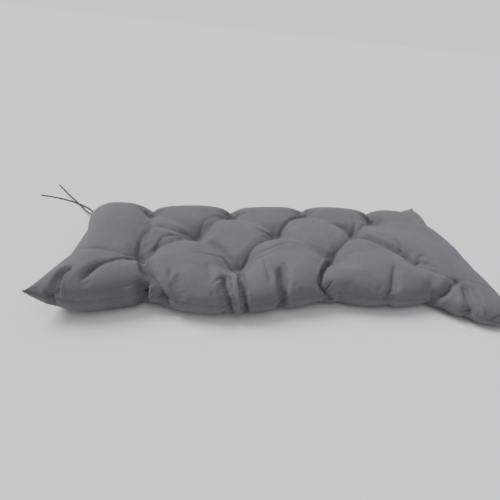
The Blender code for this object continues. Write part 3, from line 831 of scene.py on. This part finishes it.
def creased(grid, places, views, outward):
    """A panel with creases pressed into it and the seam sewn in.

    Each view gives creases, cloth places x and y, and which way those run on this panel.
    """
    depth = np.zeros(grid.shape[:2])
    drawn = np.zeros((*grid.shape[:2], 2))
    for creases, x, y, x_way, y_way in views:
        more_depth, more_drawn = crease_moves(x, y, creases)
        depth += more_depth
        drawn += more_drawn * (x_way, y_way)
    edge = seam_distance(places) / GROOVE_WIDTH
    depth += SEAM_GROOVE * np.clip(1 - edge, 0, 1) ** 2
    depth -= SEAM_LIP * np.clip(1 - np.abs(edge - 1), 0, 1)
    calm = blurred(grid, CALM_BLUR)
    inward = -outward * normals(calm)
    along = np.gradient(calm, axis=0)
    across = np.gradient(calm, axis=1)
    along /= np.linalg.norm(along, axis=-1, keepdims=True)
    across /= np.linalg.norm(across, axis=-1, keepdims=True)
    return grid + inward * depth[..., None] + along * drawn[..., :1] + across * drawn[..., 1:]


def make_cover():
    """The cushion's skin, made, creased and dressed; its panels and cloth places are passed on."""
    top, bottom, places = panels(*SETTLED_CELLS)
    top = top - CENTRE - normals(top) * START_INSET
    bottom = bottom - CENTRE
    top, bottom = settle(top, bottom, places)
    top, bottom, places = finer(top), finer(bottom), finer(places)
    x, y = places[..., 0], places[..., 1]
    random = np.random.default_rng(RANDOM_SEED)
    creases = [*CREASES, *puckers(random)]
    top = creased(top, places, ((creases + pulls(random), x, y, 1, 1),), 1)
    # what crosses a seam runs on under it, so the bottom panel has it mirrored in that seam
    bottom = creased(bottom, places, (
        (pulls(random), x, y, 1, 1),
        (creases, x, -2 * CLOTH_SIDE - y, 1, -1),
        (creases, x, 2 * CLOTH_SIDE - y, 1, -1),
        (creases, -2 * CLOTH_END - x, y, -1, 1),
        (creases, 2 * CLOTH_END - x, y, -1, 1),
    ), -1)
    bottom[..., 2] = np.maximum(bottom[..., 2], 0)
    points, faces, over, under = skin(top, bottom)
    cover = new_object("cushion_cover", points, faces)
    cover.data.shade_smooth()
    spots = np.zeros((len(points), 3))
    on_cloth = np.dstack((places, seam_distance(places)))
    for numbers in (over, under):
        spots[numbers] = on_cloth
    name_spots(cover, spots)
    cloth = cloth_material("cover cloth", COVER_COLOUR, COVER_PITCH, COVER_THREAD_RISE, SEAM_BAND)
    dress(cover, cloth)
    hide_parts("cushion")
    return top, bottom, places


def even_route(points, step):
    """A smooth route through the points, with places an even step apart, none under the floor."""
    fine = smooth_route(points, TIE_FINE_STEPS)
    run = np.concatenate(([0], np.cumsum(np.linalg.norm(np.diff(fine, axis=0), axis=1))))
    places = np.linspace(0, run[-1], int(round(run[-1] / step)) + 1)
    route = np.stack([np.interp(places, run, fine[:, axis]) for axis in range(3)], axis=1)
    route[:, 2] = np.maximum(route[:, 2], FLOOR_HEIGHT)
    return route, run[-1]


def make_tie(name, node, side, points, material):
    """A flat tape with a rib along each edge, laid along the route of the node that it replaces."""
    corner = np.array(BACK_SEAM[0][:3])
    start = corner + TIE_GAP * TIE_OUT + side * (TIE_RADIUS + TIE_GAP / 2) * TIE_ACROSS
    route, length = even_route((start, start + TIE_STRAIGHT * TIE_OUT, *points), TAPE_STEP)
    route -= CENTRE
    along = np.gradient(route, axis=0)
    along /= np.linalg.norm(along, axis=1, keepdims=True)
    across = np.cross((0, 0, 1.0), along)
    across /= np.linalg.norm(across, axis=1, keepdims=True)
    up = np.cross(along, across)
    section = np.array(TAPE_SECTION)
    section = np.concatenate((section, section[::-1] * (1, -1)))
    wide, thick = section[:, 0] * TAPE_WIDTH / 2, section[:, 1] * TAPE_THICKNESS / 2
    rings = route[:, None] + across[:, None] * wide[:, None] + up[:, None] * thick[:, None]
    tie = new_object(name, rings.reshape(-1, 3), tube_faces(0, len(route), len(section)))
    tie.data.shade_smooth()
    run = np.linspace(0, length, len(route))
    spots = np.stack(np.broadcast_arrays(run[:, None], wide + TAPE_WIDTH, 0), axis=-1)
    name_spots(tie, spots)
    dress(tie, material)
    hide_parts(node)


def make_camera():
    """The camera, turned by its yaw, then tilted down, then rolled."""
    yaw, down, roll = (math.radians(angle) for angle in (CAMERA_YAW, CAMERA_DOWN, CAMERA_ROLL))
    ahead = Vector((math.sin(yaw), math.cos(yaw), 0))
    level = Vector((math.cos(yaw), -math.sin(yaw), 0))
    forward = math.cos(down) * ahead - math.sin(down) * Vector((0, 0, 1))
    upright = level.cross(forward)
    right = math.cos(roll) * level + math.sin(roll) * upright
    up = math.cos(roll) * upright - math.sin(roll) * level
    data = bpy.data.cameras.new("camera")
    data.lens = CAMERA_LENS
    data.sensor_width = CAMERA_SENSOR
    camera = bpy.data.objects.new("camera", data)
    bpy.context.scene.collection.objects.link(camera)
    turn = Matrix((right, up, -forward)).transposed()
    place = Matrix.Translation(Vector(CAMERA_PLACE) - Vector(CENTRE))
    camera.matrix_world = place @ turn.to_4x4()
    bpy.context.scene.camera = camera


def maths(tree, operation, *values):
    """A Math node's output, from numbers or other nodes' outputs."""
    item = tree.nodes.new("ShaderNodeMath")
    item.operation = operation
    for socket, value in zip(item.inputs, values):
        if isinstance(value, bpy.types.NodeSocket):
            tree.links.new(value, socket)
        else:
            socket.default_value = value
    return item.outputs[0]


def noise_at(tree, place, detail=NOISE_DETAIL):
    """A Noise Texture's strength, about 0 to 1, at a place in units of its own size."""
    item = tree.nodes.new("ShaderNodeTexNoise")
    item.inputs["Scale"].default_value = 1.0
    item.inputs["Detail"].default_value = detail
    tree.links.new(place, item.inputs["Vector"])
    return item.outputs["Fac"]


def scaled(tree, place, sizes):
    """A place divided by a size in each direction."""
    item = tree.nodes.new("ShaderNodeVectorMath")
    item.operation = "DIVIDE"
    tree.links.new(place, item.inputs[0])
    item.inputs[1].default_value = sizes
    return item.outputs[0]


def ranged(tree, value, start, end, low, high):
    """A value carried from the range start to end over to the range low to high, and kept in it."""
    item = tree.nodes.new("ShaderNodeMapRange")
    tree.links.new(value, item.inputs["Value"])
    item.inputs["From Min"].default_value = start
    item.inputs["From Max"].default_value = end
    item.inputs["To Min"].default_value = low
    item.inputs["To Max"].default_value = high
    return item.outputs["Result"]


def tinted(tree, colour, tone):
    """A colour made darker or lighter by a tone around 1."""
    item = tree.nodes.new("ShaderNodeVectorMath")
    item.operation = "SCALE"
    item.inputs[0].default_value = colour
    tree.links.new(tone, item.inputs["Scale"])
    return item.outputs[0]


def new_material(name):
    """A material, its node tree and its shader."""
    material = bpy.data.materials.new(name)
    material.use_nodes = True
    return material, material.node_tree, material.node_tree.nodes["Principled BSDF"]


def cloth_place(tree):
    """A point's place on the cloth, and the three parts of it."""
    spot = tree.nodes.new("ShaderNodeAttribute")
    spot.attribute_name = SPOTS
    parts = tree.nodes.new("ShaderNodeSeparateXYZ")
    tree.links.new(spot.outputs["Vector"], parts.inputs[0])
    return spot.outputs["Vector"], parts.outputs


def add_threads(tree, shader, height, rise):
    """Threads that stand out by the rise where the height is 1, with the sheen of loose fibre."""
    bump = tree.nodes.new("ShaderNodeBump")
    bump.inputs["Strength"].default_value = 1.0
    bump.inputs["Distance"].default_value = rise
    tree.links.new(height, bump.inputs["Height"])
    tree.links.new(bump.outputs["Normal"], shader.inputs["Normal"])
    shader.inputs["Sheen Weight"].default_value = CLOTH_SHEEN
    shader.inputs["Sheen Roughness"].default_value = SHEEN_ROUGHNESS


def plain_weave(tree, parts, pitch):
    """Height of a plain weave's threads, and the shares of the warp and the weft on top."""
    warp_wave, weft_wave = (
        maths(tree, "SINE", maths(tree, "MULTIPLY", part, math.pi / pitch)) for part in parts[:2])
    over = maths(tree, "MULTIPLY_ADD", maths(tree, "MULTIPLY", warp_wave, weft_wave), 0.5, 0.5)
    lower = maths(tree, "SUBTRACT", 1.0, over)
    warp = maths(tree, "MULTIPLY", maths(tree, "ABSOLUTE", warp_wave), over)
    weft = maths(tree, "MULTIPLY", maths(tree, "ABSOLUTE", weft_wave), lower)
    return maths(tree, "MAXIMUM", warp, weft), over, lower


def cloth_material(name, colour, pitch, rise, seam_band=None):
    """Plain weave of uneven yarns, which follows each point's place on the cloth, with painted shade
    between its threads and a painted highlight on their crests.

    The cloth is darkened along the seam, within the band's two distances from it, by dark thread and
    painted shade.
    """
    material, tree, shader = new_material(name)
    place, parts = cloth_place(tree)
    weave, over, lower = plain_weave(tree, parts, pitch)

    long_size = pitch * SLUB_LENGTH
    warp_slub = noise_at(tree, scaled(tree, place, (pitch, long_size, long_size)))
    weft_slub = noise_at(tree, scaled(tree, place, (long_size, pitch, long_size)))
    slub = maths(tree, "ADD", maths(tree, "MULTIPLY", warp_slub, over),
                 maths(tree, "MULTIPLY", weft_slub, lower))
    blotch = noise_at(tree, scaled(tree, place, [BLOTCH_SIZE] * 3), BLOTCH_DETAIL)

    tone = maths(tree, "ADD", ranged(tree, slub, *NOISE_SPREAD, 1 - SLUB_TONE, 1 + SLUB_TONE),
                 ranged(tree, blotch, *NOISE_SPREAD, -BLOTCH_TONE, BLOTCH_TONE))
    # painted shade between the threads and painted highlight on their crests
    tone = maths(tree, "MULTIPLY", tone, ranged(tree, weave, 0, WEAVE_CREST, *WEAVE_SHADE_AND_HIGHLIGHT))
    # dark thread and painted shade along the seam
    if seam_band:
        shade = ranged(tree, parts[2], *seam_band, SEAM_THREAD_AND_SHADE_TONE, 1)
        tone = maths(tree, "MULTIPLY", tone, shade)
    tree.links.new(tinted(tree, colour, tone), shader.inputs["Base Color"])
    roughness = ranged(tree, slub, *NOISE_SPREAD, *CLOTH_ROUGHNESS)
    tree.links.new(roughness, shader.inputs["Roughness"])
    shader.inputs["Specular IOR Level"].default_value = CLOTH_SPECULAR
    add_threads(tree, shader, maths(tree, "ADD", weave, slub), rise)
    return material


def thread_material():
    """Sewing thread, twisted from plies that run slantwise round it, with painted shade between the
    plies and a painted highlight on them.
    """
    material, tree, shader = new_material("tuft thread")
    _, parts = cloth_place(tree)
    along = maths(tree, "MULTIPLY", parts[0], 2 * math.pi / THREAD_TWIST)
    ply = maths(tree, "SINE", maths(tree, "MULTIPLY_ADD", parts[1], THREAD_PLIES, along))
    # painted shade between the plies and painted highlight on them
    colour = tinted(tree, THREAD_COLOUR, ranged(tree, ply, -1, 1, *PLY_SHADE_AND_HIGHLIGHT))
    tree.links.new(colour, shader.inputs["Base Color"])
    roughness = ranged(tree, ply, -1, 1, *reversed(CLOTH_ROUGHNESS))
    tree.links.new(roughness, shader.inputs["Roughness"])
    add_threads(tree, shader, ply, PLY_RISE)
    return material


def stitch_bar(middle, run, side, up):
    """Rings of points of one bar of thread, arched out of the cloth along run."""
    shares = np.linspace(0, 1, BAR_STEPS + 1)
    turns = np.linspace(0, 2 * np.pi, BAR_CORNERS, endpoint=False)
    line = (middle + np.outer((shares - 0.5) * BAR_LENGTH, run)
            + np.outer((2 * np.sin(shares * np.pi) - 1) * BAR_RISE, up))
    ring = BAR_RADIUS * (np.outer(np.cos(turns), side) + np.outer(np.sin(turns), up))
    spots = np.stack(np.broadcast_arrays((shares * BAR_LENGTH)[:, None], turns, 0), axis=-1)
    return (line[:, None] + ring).reshape(-1, 3), spots.reshape(-1, 3)


def make_stitches(top, bottom, places):
    """Bars of thread that tie the panels together at each tuft, as one piece."""
    points, faces, spots = [], [], []
    for grid, outward in ((top, 1), (bottom, -1)):
        calm = blurred(grid, CALM_BLUR)
        ups = outward * normals(calm)
        for place in TUFTS.values():
            away = np.hypot(*np.moveaxis(places - place, -1, 0))
            i, j = np.unravel_index(away.argmin(), away.shape)
            run = calm[i + 1, j] - calm[i - 1, j]
            run /= np.linalg.norm(run)
            side = np.cross(ups[i, j], run)
            for bar in range(BARS_PER_TUFT):
                middle = grid[i, j] + side * (bar - (BARS_PER_TUFT - 1) / 2) * BAR_SPACING
                first = len(points) * (BAR_STEPS + 1) * BAR_CORNERS
                bar_points, bar_spots = stitch_bar(middle, run, side, ups[i, j])
                points.append(bar_points)
                spots.append(bar_spots)
                faces += tube_faces(first, BAR_STEPS + 1, BAR_CORNERS)
    stitches = new_object("tuft_stitches", np.concatenate(points), faces)
    name_spots(stitches, np.concatenate(spots))
    stitches.data.shade_smooth()
    dress(stitches, thread_material())


def make_floor():
    corners = FLOOR_HALF * np.array(((-1, -1, 0), (1, -1, 0), (1, 1, 0), (-1, 1, 0)))
    floor = new_object("floor", corners - (0, 0, FLOOR_DROP), [(0, 1, 2, 3)])
    material, _, shader = new_material("pale floor")
    shader.inputs["Base Color"].default_value = (*FLOOR_COLOUR, 1)
    shader.inputs["Roughness"].default_value = FLOOR_ROUGHNESS
    shader.inputs["Specular IOR Level"].default_value = 0
    floor.data.materials.append(material)


def make_sun():
    data = bpy.data.lights.new("soft sun", "SUN")
    data.energy = SUN_LIGHT
    data.angle = math.radians(SUN_SPREAD)
    sun = bpy.data.objects.new("soft sun", data)
    bpy.context.scene.collection.objects.link(sun)
    sun.rotation_euler = Vector(SUN_WAY).to_track_quat("Z", "Y").to_euler()


def make_room():
    """Light from all round, by the height that it comes from."""
    world = bpy.data.worlds.new("soft room")
    world.use_nodes = True
    tree = world.node_tree
    background = tree.nodes["Background"]
    background.inputs["Color"].default_value = (1, 1, 1, 1)
    way = tree.nodes.new("ShaderNodeTexCoord")
    parts = tree.nodes.new("ShaderNodeSeparateXYZ")
    tree.links.new(way.outputs["Generated"], parts.inputs[0])
    horizon = ranged(tree, parts.outputs[2], *HORIZON_FADE, HORIZON_LIGHT, 0)
    room = ranged(tree, parts.outputs[2], 0, 1, *ROOM_LIGHT)
    tree.links.new(maths(tree, "MAXIMUM", horizon, room), background.inputs["Strength"])
    bpy.context.scene.world = world


make_camera()
tape = cloth_material("tie tape", TAPE_COLOUR, TAPE_PITCH, TAPE_THREAD_RISE)
make_tie("tie_long_tape", "tie_long", -1, LONG_TIE, tape)
make_tie("tie_short_tape", "tie_short", 1, SHORT_TIE, tape)
make_stitches(*make_cover())
make_floor()
make_sun()
make_room()
